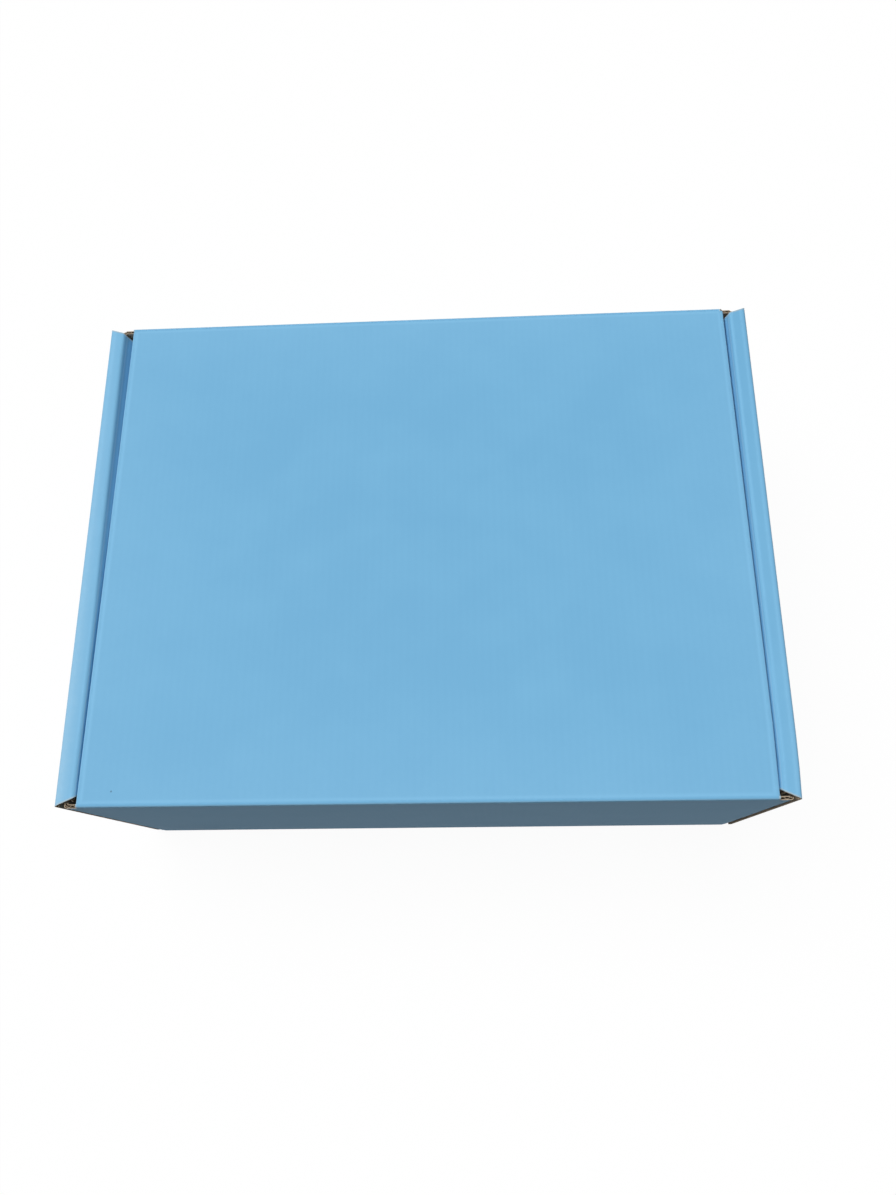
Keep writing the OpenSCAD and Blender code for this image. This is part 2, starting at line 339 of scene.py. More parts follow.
# %% Sizes of the board
BOARD_T = 1.6 * MM
LINER_T = 0.25 * MM
MEDIUM_T = 0.20 * MM
WAVE_STEPS, LINER_STEP = 10, 9 * MM
GLUE = 0.02 * MM
WAVE_LIFT = (BOARD_T - 2 * LINER_T - MEDIUM_T) / 2 + GLUE
CRUSH_REACH, CRUSHED, CRUSH_SLOPE = 2.0 * MM, 0.85, 1.5
FOLD_STEPS = 6
CREASE_R, TIGHTEST = 1.1 * MM, 0.3 * MM
FAR, TINY, ROUND_OFF = 50 * MM, 1e-9, 1e-6
LAYERS = {
    "outer": (0.0, LINER_T),
    "medium": ((BOARD_T - MEDIUM_T) / 2, MEDIUM_T),
    "inner": (BOARD_T - LINER_T, LINER_T),
}
print("board", BOARD_T / MM, "mm, waves", round(2 * WAVE_LIFT / MM, 2), "mm high")


# %% A blank and the columns of its papers
class Blank:
    """Lengths between the outer corners of a folded strip, and each corner's radius."""

    def __init__(self, lengths, radii=(), folds=()):
        self.lengths, self.radii = lengths, radii
        self.total = sum(lengths)
        self.folds = [sum(lengths[: i + 1]) for i in range(len(radii))] + list(folds)

    def fold_gap(self, s):
        """How far a place on the blank is from the nearest fold."""
        return min([abs(s - fold) for fold in self.folds] + [FAR])

    def columns(self, depth, step, knots):
        """Columns of one paper: place when flat, place on the blank, and turn."""
        reach = [max(r - depth, TIGHTEST) for r in self.radii]
        turn = math.pi / 2 / FOLD_STEPS
        made = [[0.0, 0.0, 0.0]]
        passed = 0.0
        for number, length in enumerate(self.lengths):
            start = depth + reach[number - 1] if number else 0.0
            last = number == len(self.radii)
            stop = length if last else length - depth - reach[number]
            inside = [k - passed for k in knots if start < k - passed < stop]
            marks = [start] + sorted(inside) + [stop]
            for low, high in zip(marks, marks[1:]):
                if high - low <= TINY:
                    continue
                count = max(1, math.ceil((high - low) / step - ROUND_OFF))
                base = made[-1][0]
                for i in range(1, count + 1):
                    share = (high - low) * i / count
                    made.append([base + share, passed + low + share, 0.0])
            passed += length
            if not last:
                made[-1][2] += turn / 2
                chord = 2 * reach[number] * math.sin(turn / 2)
                for i in range(1, FOLD_STEPS + 1):
                    s = passed + (depth + reach[number]) * (2 * i / FOLD_STEPS - 1)
                    made.append([made[-1][0] + chord, s, turn])
                made[-1][2] = turn / 2
        return made


# %% [markdown]
# ## Selecting and applying
#
# An operator works on all that is selected, and the CAD nodes are still selected after
# loading. Each step could repeat the two or three lines that clear the selection, but
# a forgotten one would fold or thicken a part of the frame, so they are said once here.


# %% Selecting and applying
def deselect():
    for thing in bpy.context.selected_objects:
        thing.select_set(False)


def only(thing):
    deselect()
    thing.select_set(True)
    bpy.context.view_layer.objects.active = thing


def apply_modifier(thing, kind, **settings):
    only(thing)
    modifier = thing.modifiers.new(kind.lower(), kind)
    for key, value in settings.items():
        setattr(modifier, key, value)
    bpy.ops.object.modifier_apply(modifier=modifier.name)


# %% [markdown]
# ## Cutting one paper
#
# On the die each paper gets its outline while it is still flat. A Boolean or a bisect
# could cut that outline, but both leave ragged faces along a slant. Here the grid's
# rows run between the two cut or folded ends of the strip, which `ends` gives for each
# place along it, so a slanted or rounded outline keeps its tidy columns. Four numbers
# are stored at each point for the print: how far it is from a fold across the strip,
# from a fold along its end, from a cut, and how much painted highlight it gets.


# %% Cut one paper flat
def stored(mesh, name, values):
    attribute = mesh.attributes.new(name, "FLOAT", "POINT")
    attribute.data.foreach_set("value", values)


def cut_paper(name, cutting, layer, sign):
    """A flat grid, and each point's column, place on the blank and depth in the board."""
    blank, joins = cutting["blank"], cutting["joins"]
    levels = cutting["levels"]
    rows = len(levels) + 1 if levels else cutting["rows"]
    depth, thick = LAYERS[layer]
    wavy = layer == "medium"
    step = FLUTE_PITCH / WAVE_STEPS if wavy else LINER_STEP
    columns = blank.columns(depth + thick / 2 if wavy else depth, step, cutting["knots"])
    across = len(columns) - 1
    deselect()
    bpy.ops.mesh.primitive_grid_add(
        x_subdivisions=across, y_subdivisions=rows, size=1, calc_uvs=True
    )
    paper = bpy.context.object
    paper.name = name
    mesh = paper.data
    mesh.uv_layers[0].name = "blank"
    points, creases, hems, cuts, wears = [], [], [], [], []
    for v in mesh.vertices:
        column = round((v.co.x + 0.5) * across)
        row = round((v.co.y + 0.5) * rows)
        flat, s, _ = columns[column]
        low, high = cutting["ends"](s)
        y = levels[row - 1] if levels and 0 < row < rows else low + (high - low) * row / rows
        crease = blank.fold_gap(s)
        z = -depth
        if wavy:
            crush = min(1, CRUSH_SLOPE * max(0, 1 - crease / CRUSH_REACH))
            lift = WAVE_LIFT * (1 - CRUSHED * crush)
            z += lift * math.sin(2 * math.pi * s / FLUTE_PITCH) - thick / 2
        v.co = (flat, sign * y, z)
        middle = abs(s - blank.total / 2)
        gaps = [(y - low, middle < joins[0]), (high - y, middle < joins[1])]
        points.append((column, s, -z))
        creases.append(crease)
        hems.append(min(gap + BOARD_T if joined else FAR for gap, joined in gaps))
        cuts.append(min(FAR if joined else gap for gap, joined in gaps))
        wears.append(cutting["wear"](s, y))
    for name, values in (("crease", creases), ("hem", hems), ("cut", cuts), ("wear", wears)):
        stored(mesh, name, values)
    for loop, place in zip(mesh.loops, mesh.uv_layers["blank"].data):
        place.uv = (points[loop.vertex_index][1], mesh.vertices[loop.vertex_index].co.y)
    if sign < 0:
        mesh.flip_normals()
    return paper, columns, points


# %% [markdown]
# ## Folding it
#
# A crease turns the board over a small round edge. Bending by a Simple Deform modifier
# would bend the whole strip at once, so all that lies beyond each turning column is
# rotated a small step in edit mode instead, column by column, just as the board is
# folded by hand.


# %% Fold one paper
def fold_paper(paper, columns, points):
    """Turns what lies beyond each turning column, one small step at a time."""
    only(paper)
    bpy.ops.object.mode_set(mode="EDIT")
    bpy.ops.mesh.select_mode(type="VERT")
    edit = bmesh.from_edit_mesh(paper.data)
    verts = list(edit.verts)
    first = {}
    for v in verts:
        first.setdefault(points[v.index][0], v)
    for number, (_, _, turn) in enumerate(columns):
        if not turn:
            continue
        for v in verts:
            v.select_set(points[v.index][0] > number)
        edit.select_flush_mode()
        bpy.ops.transform.rotate(value=-turn, orient_axis="Y", center_override=first[number].co)
    bpy.ops.object.mode_set(mode="OBJECT")


# %% [markdown]
# ## Thickness and holes
#
# A folded paper has no thickness yet. It could be extruded, but the folds would then
# pinch. Solidify keeps the thickness even through them, and it gives the outer liner
# its print on the outside and bare brown paper at the edge and behind. A hole is opened
# before that, by deleting the faces that lie in it, so that its rim is brown too.


# %% Thickness and holes
def shell(paper, layer):
    """Gives a paper its thickness, printed outside and brown at the edge."""
    outer = layer == "outer"
    for material in (PRINT, KRAFT) if outer else (MEDIUM if layer == "medium" else KRAFT,):
        paper.data.materials.append(material)
    apply_modifier(
        paper,
        "SOLIDIFY",
        thickness=LAYERS[layer][1],
        offset=0 if layer == "medium" else -1,
        use_even_offset=layer != "medium",
        material_offset=1 if outer else 0,
        material_offset_rim=1 if outer else 0,
    )


def open_holes(paper, in_hole):
    """Deletes the faces whose middles lie in a hole."""
    only(paper)
    bpy.ops.object.mode_set(mode="EDIT")
    bpy.ops.mesh.select_mode(type="FACE")
    edit = bmesh.from_edit_mesh(paper.data)
    for face in edit.faces:
        face.select_set(in_hole(face.calc_center_median()))
    bmesh.update_edit_mesh(paper.data)
    bpy.ops.mesh.delete(type="FACE")
    bpy.ops.object.mode_set(mode="OBJECT")


# %% [markdown]
# ## From papers to a board
#
# A folded paper is put in its place in the box with one matrix, which says where the
# blank's first edge lies, which way the strip runs from there and which way its
# printed face looks. It could be turned and moved in several steps, but three
# directions are easier to check against the real box. A panel that isn't quite
# straight is then eased into shape point by point, and thickness comes last, because
# Solidify follows the eased surface.


# %% Make a board and seat it
def seat(start, run, face):
    """A matrix that puts a blank at start, running along run, its print facing face."""
    run, face = Vector(run), Vector(face)
    side = face.cross(run)
    turned = Matrix((run, side, face)).transposed().to_4x4()
    return Matrix.Translation(Vector(start)) @ turned


def join(name, things):
    deselect()
    for thing in things:
        thing.select_set(True)
    bpy.context.view_layer.objects.active = things[0]
    if len(things) > 1:
        bpy.ops.object.join()
    made = bpy.context.object
    made.name = name
    made.data.name = name
    return made


def board(name, blank, ends, place, layers=tuple(LAYERS), ease=None, holes=None, **more):
    """A folded board. The ends of a strip are folds as far out as its two joins say."""
    cutting = {"rows": 2, "levels": (), "knots": (), "joins": (0, 0), "wear": lambda s, y: 0}
    cutting.update(more, blank=blank, ends=ends)
    sign = 1 if sum(place.to_3x3() @ Vector((0, 1, 0))) > 0 else -1
    papers = []
    for layer in layers:
        paper, columns, points = cut_paper(f"{name}_{layer}", cutting, layer, sign)
        fold_paper(paper, columns, points)
        paper.data.transform(place)
        if ease:
            for v, (_, s, depth) in zip(paper.data.vertices, points):
                v.co = ease(v.co.copy(), s, depth)
        if holes:
            open_holes(paper, holes)
        shell(paper, layer)
        papers.append(paper)
    return join(name, papers)


# %% [markdown]
# ## A finished piece
#
# On the real box a fold is round and a cut edge is crisp. A Bevel could draw that line
# with more faces, but the folds already have their steps, so a piece is only smoothed
# wherever it bends by less than 40 degrees. It is then tied to the frame: the CAD node
# that it stands for is hidden, and the piece rides on the body that the node rides on.

# %% Finish a piece
CRISP_ANGLE = math.radians(40)


def finish_piece(piece, body, node=None):
    only(piece)
    bpy.ops.object.shade_smooth_by_angle(angle=CRISP_ANGLE)
    if node:
        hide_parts(node)
    if body:
        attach(piece, body)
    low = [min(v.co[i] for v in piece.data.vertices) / MM for i in range(3)]
    high = [max(v.co[i] for v in piece.data.vertices) / MM for i in range(3)]
    print(piece.name, len(piece.data.polygons), "faces", [round(v, 2) for v in low + high])


# %% [markdown]
# ## Sizes of the folded box
#
# These repeat the CAD model's values, since a panel has to lie where its solid lies.
# Across the box they are counted inwards from a side wall's outer face, and along it
# from the front flap's face or the back wall's, because that is how the layers of a
# roll are stacked. The back wall is a little wider than its solid, because in the
# photograph its corners lie nearer the side walls, where no ear comes between.

# %% Sizes of the folded box
HALF_W, HALF_D, HEIGHT = 158.0 * MM, 118.5 * MM, 129.0 * MM
ROLL_W, ROLL_BACK_W, ROLL_R = 9.0 * MM, 10.0 * MM, 3.0 * MM
PANEL_GAP, SWING_GAP, TAB_GAP = 0.2 * MM, 0.3 * MM, 0.3 * MM
TAB_L, TAB_Y = 44.0 * MM, 59.0 * MM
WALL_V, WALL_U, BACK_WALL_U = 2.5 * MM, 5.6 * MM, 4.4 * MM
HAIR = 0.01 * MM
RIM = HEIGHT - BOARD_T
WALL_TOP = RIM - SWING_GAP
CORNER_FLAP_TOP = WALL_TOP - 2 * SWING_GAP
LID_HALF_FRONT, LID_HALF_BACK = 148.6 * MM, 146.8 * MM
FLAP_HALF = 154.2 * MM
print("roll tops", ROLL_W / MM, "to", ROLL_BACK_W / MM, "mm wide")


# %% Lines, roll widths and close knots
def slope(x, points):
    """Straight lines through points given as (x, value)."""
    for (x0, v0), (x1, v1) in zip(points, points[1:]):
        if x <= x1:
            return v0 + (v1 - v0) * max(0, x - x0) / (x1 - x0)
    return points[-1][1]


def roll_width(y):
    return ROLL_W + (ROLL_BACK_W - ROLL_W) * (y + HALF_D) / (2 * HALF_D)


def both(value, whole):
    """Two close knots at value and two at the same distance from the other end."""
    return [value - HAIR, value + HAIR, whole - value - HAIR, whole - value + HAIR]


# %% [markdown]
# ## Floor
#
# The floor is the one panel that nobody sees until the box is turned over, and then
# it shows four slots with the side walls' locking tabs in them. The slots could be
# cut with a Boolean, but three thin wavy papers make slow, fragile cuts. Columns and
# rows of the grid are put on the outline of the slots instead, and the faces inside
# are deleted. The rolls are wider at the back, so these columns are also eased a
# little sideways, more the farther they are from the middle of the box.

# %% Outline and slots of the floor
FLOOR_W = 2 * (HALF_W - BOARD_T)
MIDDLE_W = (ROLL_W + ROLL_BACK_W) / 2
SLOT_U = (MIDDLE_W - BOARD_T - TAB_GAP, MIDDLE_W + TAB_GAP)
SLOT_EASE_TO = 16 * MM
SLOT_EASE = [(WALL_U + PANEL_GAP, 0), (SLOT_U[0], 1), (SLOT_U[1], 1), (SLOT_EASE_TO, 0)]
SLOT_Y = (TAB_Y - TAB_L / 2 - TAB_GAP, TAB_Y + TAB_L / 2 + TAB_GAP)


def floor_ends(s):
    strip = abs(s - FLOOR_W / 2) > HALF_W - WALL_U
    low = -HALF_D + WALL_V + (0 if strip else BOARD_T)
    return low, HALF_D - (0 if strip else BOARD_T)


def ease_floor(co, s, depth):
    side = 1 if co.x > 0 else -1
    moved = (roll_width(co.y) - MIDDLE_W) * slope(HALF_W - abs(co.x), SLOT_EASE)
    co.x -= side * moved
    return co


def in_slot(middle):
    u = HALF_W - abs(middle.x) - roll_width(middle.y) + MIDDLE_W
    return SLOT_U[0] < u < SLOT_U[1] and SLOT_Y[0] < abs(middle.y) < SLOT_Y[1]


# %% Floor
floor_knots = both(WALL_U - BOARD_T, FLOOR_W)
floor_knots += [k for u, _ in SLOT_EASE for k in (u - BOARD_T, FLOOR_W - u + BOARD_T)]
floor = board(
    "floor_board",
    Blank([FLOOR_W], folds=(-BOARD_T, FLOOR_W + BOARD_T)),
    floor_ends,
    seat((-HALF_W + BOARD_T, 0, 0), (1, 0, 0), (0, 0, -1)),
    levels=(-SLOT_Y[1], -SLOT_Y[0], SLOT_Y[0], SLOT_Y[1]),
    knots=floor_knots,
    joins=(HALF_W - WALL_U, HALF_W - WALL_U),
    ease=ease_floor,
    holes=in_slot,
)
finish_piece(floor, "tray", "floor")

# %% [markdown]
# ## Rolled side walls
#
# Each side wall goes up, over and down again inside, in one strip that starts at the
# floor's crease. The top is the part that the photograph shows best. Its ends are cut
# to a slant, its outer edge is slightly crowned, and its inner edge isn't one sharp
# fold: the board gives way in two weak bends with a narrow facet between them. The
# facet is small at the front and wider towards the back, most of all on the left.
# A bevel of varying width could make it, but it is simpler to say where each point
# goes from how far it lies past the outer corner and how deep it lies in the board,
# and all three papers then stay parallel. The right roll's top is a little narrower
# than its solid, and the box's front right corner leans in by less than a millimetre.

# %% Facet of a roll
ROLL_TOP = BOARD_T + HEIGHT
CROWN, CROWN_REACH, CROWN_FADE = 0.25 * MM, 4.0 * MM, 20 * MM
EASED_FROM = 2.0 * MM
NARROWER = {1: 0.4 * MM, -1: 0.0}
NARROW_FADE = [(5 * MM, 1), (45 * MM, 0)]
SOFTEN = [k * 0.25 * MM for k in (-2, -1, 0, 1, 2)]
FACETS = {
    1: [(-118, 0.9, 1.2), (-40, 1.0, 1.6), (20, 1.4, 2.4), (118, 1.9, 3.4)],
    -1: [(-118, 0.9, 1.0), (-90, 0.9, 1.1), (-37, 1.3, 1.6), (10, 2.3, 3.2), (118, 3.3, 5.5)],
}


def facet(side, y):
    """How far the facet reaches across the top and down the inner wall."""
    across = slope(y, [(place * MM, wide * MM) for place, wide, _ in FACETS[side]])
    down = slope(y, [(place * MM, deep * MM) for place, _, deep in FACETS[side]])
    return across, down


def bent(s, depth, width, across, down):
    """Across and down from the outer top corner, for a place past that corner."""
    first = math.atan2(down, across)
    near = width - across - depth * math.tan(first / 2)
    far = width + down + depth * math.tan(math.pi / 4 - first / 2)
    if s <= near:
        return Vector((s, depth))
    if s >= far:
        return Vector((width - depth, s - width))
    start, stop = Vector((near, depth)), Vector((width - depth, far - width))
    return start.lerp(stop, (s - near) / (far - near))


# %% Shape of a roll's top
PULLED_IN, PULL_FROM = 0.7 * MM, -90 * MM


def pulled_in(y):
    """How far the front right corner leans in towards the middle of the box."""
    return PULLED_IN * max(0, (PULL_FROM - y) / (HALF_D + PULL_FROM)) ** 2


def ease_roll(side):
    def ease(co, s, depth):
        u, width = s - ROLL_TOP, roll_width(co.y)
        width -= NARROWER[side] * slope(u - ROLL_W, NARROW_FADE)
        if u > EASED_FROM:
            if u > ROLL_W:
                u += width - ROLL_W
            else:
                u = EASED_FROM + (u - EASED_FROM) * (width - EASED_FROM) / (ROLL_W - EASED_FROM)
            parts = [bent(u + part, depth, width, *facet(side, co.y)) for part in SOFTEN]
            across, down = sum(parts, Vector((0, 0))) / len(parts)
            co.x, co.z = side * (HALF_W - across), HEIGHT - down
        if 0 <= u < CROWN_REACH:
            co.z -= CROWN * (1 - u / CROWN_REACH) ** 2
        elif -CROWN_FADE < u < 0:
            co.z -= CROWN * (1 + u / CROWN_FADE)
        if side > 0:
            co.x -= pulled_in(co.y) * co.z / HEIGHT
        return co

    return ease


# %% [markdown]
# ## Ends and painted highlight of a roll
#
# The tops of the rolls are cut to a slant, so that the front flap's ears can slide in
# beneath them, and the slants differ a little from corner to corner. A painted
# highlight lies along the rolls' outer edges, strongest on the left roll at the front.
# A cut could be drawn as a curve and projected, but a few places and depths in
# millimetres are all that it needs, and the same kind of list says how much painted
# highlight the print gets. Columns stand close together where the facet bends the
# board.

# %% Ends and painted highlight of a roll
# Painted highlight across a roll's top by millimetres past its outer corner, and its share at the
# front and the back of each roll.
ROLL_HIGHLIGHT = [(-9, 0), (-1, 0.4), (0.2, 1), (2.5, 0.82), (5.5, 0.52), (7.5, 0.28), (9, 0.15)]
ROLL_HIGHLIGHT_SHARE = {1: (0.36, 0.08), -1: (0.96, 0.50)}
FRONT_CUT = {
    1: [(0, 0.2), (9, 4.0), (10.6, 4.4), (15, 5.3)],
    -1: [(0, 0.6), (9, 4.6), (10.6, 5.3)],
}
BACK_CUT = [(0, 0), (4.4, 1.6), (9, 3.1), (14.5, 3.9), (18, 4.7)]
roll_blank = Blank(
    [BOARD_T, HEIGHT, ROLL_W, HEIGHT - BOARD_T - PANEL_GAP],
    [CREASE_R, CREASE_R, ROLL_R],
)
TOP_COLUMNS = (-9, 1.3, 2.0, 2.7, 3.4, 4.1, 4.8, 5.4)
FACET_COLUMNS = (3.4, 3.9, 4.4, 4.9, 5.4, 5.9, 6.5, 7.5)
roll_knots = [ROLL_TOP + u * MM for u in TOP_COLUMNS]
roll_knots += [ROLL_TOP + ROLL_W + u * MM for u in FACET_COLUMNS]


def roll_ends(side):
    def ends(s):
        u = (s - ROLL_TOP) / MM
        return -HALF_D + slope(u, FRONT_CUT[side]) * MM, HALF_D - slope(u, BACK_CUT) * MM

    return ends


def roll_highlight(side):
    front, back = ROLL_HIGHLIGHT_SHARE[side]

    # Painted highlight, fading from front to back and inwards from the outer edge.
    def wear(s, y):
        share = front + (back - front) * (y + HALF_D) / (2 * HALF_D)
        return share * slope((s - ROLL_TOP) / MM, ROLL_HIGHLIGHT)

    return wear


# %% [markdown]
# ## The rolls and their tabs
#
# Two tabs below each inner wall lock the roll into the floor. The wall's strip could
# carry them as steps in its outline, but their edges would then need columns and rows
# of their own over the whole height of the wall. So the tabs are short boards of their
# own, joined to the wall's mesh.


# %% Rolled side walls
def side_roll(name, side, node):
    wall = board(
        name,
        roll_blank,
        roll_ends(side),
        seat((side * (HALF_W - BOARD_T), 0, 0), (side, 0, 0), (0, 0, -1)),
        rows=18,
        knots=roll_knots,
        wear=roll_highlight(side),
        ease=ease_roll(side),
    )
    parts = [wall]
    for y in (-TAB_Y, TAB_Y):
        top = side * (HALF_W - roll_width(y)), 0, BOARD_T + PANEL_GAP
        parts.append(
            board(
                f"{name}_tab",
                Blank([BOARD_T]),
                lambda s: (y - TAB_L / 2, y + TAB_L / 2),
                seat(top, (0, 0, -1), (-side, 0, 0)),
            )
        )
    finish_piece(join(name, parts), "tray", node)


side_roll("right_side_roll", 1, "right_wall")
side_roll("left_side_roll", -1, "left_wall")

# %% [markdown]
# ## Front and back walls
#
# An end wall and its two corner flaps are one strip that runs across the box and
# turns back into the rolls at both ends. That fold is upright and softer than the
# others, because it is made inside a roll by hand. The front wall's top edge is nicked
# beside each fold, which frees the corner so that the wall can stand straight. The
# flaps could be boards of their own, but then the soft fold would be a joint between
# two meshes. The strip that bends from the floor up into the wall is a second small
# board, without the middle paper, since a crease crushes the flutes flat.

# %% Outline of a front or back wall
CORNER_FLAP_L, CORNER_FLAP_SLANT, CORNER_FOLD_R = 72.0 * MM, 14.0 * MM, 2.8 * MM
NICK_OUT, NICK_IN, NICK_H = 2.0 * MM, 1.2 * MM, 9.0 * MM
CREASE_CORNER = 1.2 * MM
BACK_JOIN = LID_HALF_BACK - CREASE_CORNER


def wall_outline(total, fold_x, nicked, joined_half):
    """The ends of an end wall's strip, with a nick where each fold starts."""

    def ends(s):
        x = abs(s - total / 2)
        past_middle = x - fold_x + (NICK_OUT - NICK_IN) / 2
        in_nick = nicked and abs(past_middle) < (NICK_OUT + NICK_IN) / 2
        nick = NICK_H if in_nick else 0
        if x < fold_x:
            return BOARD_T, RIM if x < joined_half else WALL_TOP - nick
        run = total / 2 - x
        cut = slope(run, [(0, CORNER_FLAP_SLANT), (CORNER_FLAP_SLANT, 0)])
        return BOARD_T + SWING_GAP + cut, CORNER_FLAP_TOP - cut - nick

    return ends


# %% Front and back walls
def foot_crease(name, y, way, half):
    """The strip of both liners that bends from the floor up into an end wall."""
    return board(
        name,
        Blank([BOARD_T, BOARD_T], [CREASE_R]),
        lambda s: (-half, half),
        seat((0, y - way * BOARD_T, 0), (0, way, 0), (0, 0, -1)),
        layers=("outer", "inner"),
    )


def end_wall(name, y, way, u, node, nicked=False, joined_half=0):
    half = HALF_W - u
    fold_x = half - CORNER_FOLD_R
    blank = Blank([CORNER_FLAP_L, 2 * half, CORNER_FLAP_L], [CORNER_FOLD_R, CORNER_FOLD_R])
    middle, total = blank.total / 2, blank.total
    knots = both(middle - fold_x, total) + [CORNER_FLAP_SLANT, total - CORNER_FLAP_SLANT]
    if nicked:
        knots += both(middle - fold_x + NICK_OUT, total)
        knots += both(middle - fold_x - NICK_IN, total)
    if joined_half:
        knots += both(middle - joined_half, total)
    wall = board(
        name,
        blank,
        wall_outline(total, fold_x, nicked, joined_half),
        seat((-way * half, y - way * CORNER_FLAP_L, 0), (0, way, 0), (-way, 0, 0)),
        rows=4,
        knots=knots,
        joins=(fold_x, joined_half),
    )
    foot = foot_crease(f"{name}_foot", y, way, fold_x)
    finish_piece(join(name, [wall, foot]), "tray", node)


end_wall("front_wall_board", -HALF_D + WALL_V, -1, WALL_U, "front_wall", nicked=True)
end_wall("back_wall_board", HALF_D, 1, BACK_WALL_U, "back_wall", joined_half=BACK_JOIN)

# %% [markdown]
# ## Lid
#
# The lid and its two dust flaps are one strip across the box, folded down at both
# sides. Their outline isn't square: the front edge of a dust flap follows a circle
# about the back crease, so that it swings up past the front wall. The flaps could be
# separate plates cut from circles, but the fold between lid and flap is seen along
# its whole length, so it stays one strip and `lid_ends` gives the outline.

# %% Outline of the lid and its dust flaps
DUST_FLAP_H, DUST_FLAP_R, DUST_FLAP_SLANT = 64.0 * MM, 20.0 * MM, 16.0 * MM
LID_CREASE_R = 0.8 * MM
PIVOT = Vector((0, HALF_D - BOARD_T / 2, HEIGHT - BOARD_T / 2))
DUST_REACH = PIVOT.y + HALF_D - WALL_V - BOARD_T - SWING_GAP
flap_run = DUST_FLAP_H + BOARD_T
lid_blank = Blank([flap_run, 2 * LID_HALF_FRONT, flap_run], [LID_CREASE_R, LID_CREASE_R])
low_z = RIM - DUST_FLAP_H
corner_z = low_z + DUST_FLAP_R
corner_drop = PIVOT.z - corner_z
corner_y = PIVOT.y - math.sqrt((DUST_REACH - DUST_FLAP_R) ** 2 - corner_drop**2)


def lid_ends(s):
    beyond = abs(s - lid_blank.total / 2) - LID_HALF_FRONT
    z = HEIGHT - beyond
    if z > RIM:
        return -HALF_D + BOARD_T, HALF_D - BOARD_T
    turn = math.asin(corner_drop / (DUST_REACH - DUST_FLAP_R))
    if z > corner_z - DUST_FLAP_R * math.sin(turn):
        low = PIVOT.y - math.sqrt(DUST_REACH**2 - (PIVOT.z - z) ** 2)
    else:
        low = corner_y - math.sqrt(max(0, DUST_FLAP_R**2 - (corner_z - z) ** 2))
    back = HALF_D - BOARD_T - SWING_GAP
    return low, back - DUST_FLAP_SLANT * (RIM - z) / DUST_FLAP_H


# %% [markdown]
# ## How the lid lies
#
# The lid is a little narrower at the back than at the front, and it was closed a hair
# to the right of the middle. A painted highlight makes its print palest along its
# edges. A lattice could squeeze the mesh, but one function that moves each point by its
# place is exact and also works on the creases. The edges' painted highlight comes from
# the same stored number as the rolls' painted highlight.

# %% Lid
LID_SHIFT = 0.4 * MM
# Painted highlight on the lid, by millimetres in from its nearest edge.
PALE_RIM = [(0, 0.02), (70, 0.08), (118, 0.26)]
RIM_RUNS = [run * MM for run in (3, 5, 8)]


def ease_lid(co, s, depth):
    share = (PIVOT.y - co.y) / (2 * PIVOT.y)
    half = LID_HALF_BACK + (LID_HALF_FRONT - LID_HALF_BACK) * share
    co.x *= half / LID_HALF_FRONT
    if co.x > 0:
        co.x += (LID_SHIFT - pulled_in(co.y)) * co.x / half
    else:
        co.x -= LID_SHIFT * (1 - share) * co.x / half
    return co


def lid_wear(s, y):
    """Painted highlight: the print is a shade lighter towards the edges."""
    x = (s - lid_blank.total / 2) * HALF_D / HALF_W
    return slope(max(abs(x), abs(y)) / MM, PALE_RIM)


rounding = [DUST_FLAP_R * (1 - math.cos(math.radians(a))) for a in range(9, 90, 9)]
runs = rounding + [flap_run + run for run in RIM_RUNS]
lid_knots = [k for run in runs for k in (run, lid_blank.total - run)]
lid_knots += both(flap_run - BOARD_T, lid_blank.total)
lid = board(
    "lid_board",
    lid_blank,
    lid_ends,
    seat((LID_HALF_FRONT, 0, low_z), (0, 0, 1), (1, 0, 0)),
    rows=8,
    knots=lid_knots,
    joins=(LID_HALF_FRONT, LID_HALF_FRONT),
    wear=lid_wear,
    ease=ease_lid,
)
finish_piece(lid, "lid", "lid")

# %% [markdown]
# ## Front flap and ears
#
# The flap hangs from the lid's front edge outside the front wall, and an ear at each
# of its ends is tucked into a roll. Both edges of an ear follow circles: the upper one
# about the back crease, so that it slides out under the roll's slanted end as the lid
# opens, and the lower one about the front crease, so that it swings clear of the
# floor. Circles could be drawn and trimmed, but their heights can be worked out for
# each column, and the columns stand closer together towards the flap, where the curves
# bend most. The left ear shows a little farther in than the right one.

# %% Outline of the front flap
FLAP_LIFT, EAR_Z, EAR_R = 0.9 * MM, 4.6 * MM, 12.0 * MM
EAR_STEPS, LEFT_EAR_IN = 24, 0.8 * MM
EAR_START = BOARD_T - PANEL_GAP
front_pivot = Vector((0, -PIVOT.y, PIVOT.z))
lower_r = PIVOT.z - EAR_Z
back_r = PIVOT.y + HALF_D - BOARD_T
apart = 2 * PIVOT.y
ear_run = ((lower_r - EAR_R) ** 2 - (back_r + EAR_R) ** 2 + apart**2) / (2 * apart)
ear_corner_y = front_pivot.y + ear_run
ear_corner_z = PIVOT.z - math.sqrt((lower_r - EAR_R) ** 2 - ear_run**2)
EAR_L = ear_corner_y + HALF_D + EAR_R
flap_blank = Blank([EAR_L, 2 * FLAP_HALF, EAR_L], [CREASE_R, CREASE_R])


# %% Heights along an ear
def ear_top(y):
    across = PIVOT.y - y
    if across >= back_r:
        return WALL_TOP
    return min(WALL_TOP, PIVOT.z - math.sqrt(back_r**2 - across**2))


def ear_foot(y):
    foot = PIVOT.z - math.sqrt(lower_r**2 - (y - front_pivot.y) ** 2)
    past = y - ear_corner_y
    corner = ear_corner_z - math.sqrt(max(0, EAR_R**2 - past**2))
    return max(foot, corner) if past > 0 else foot


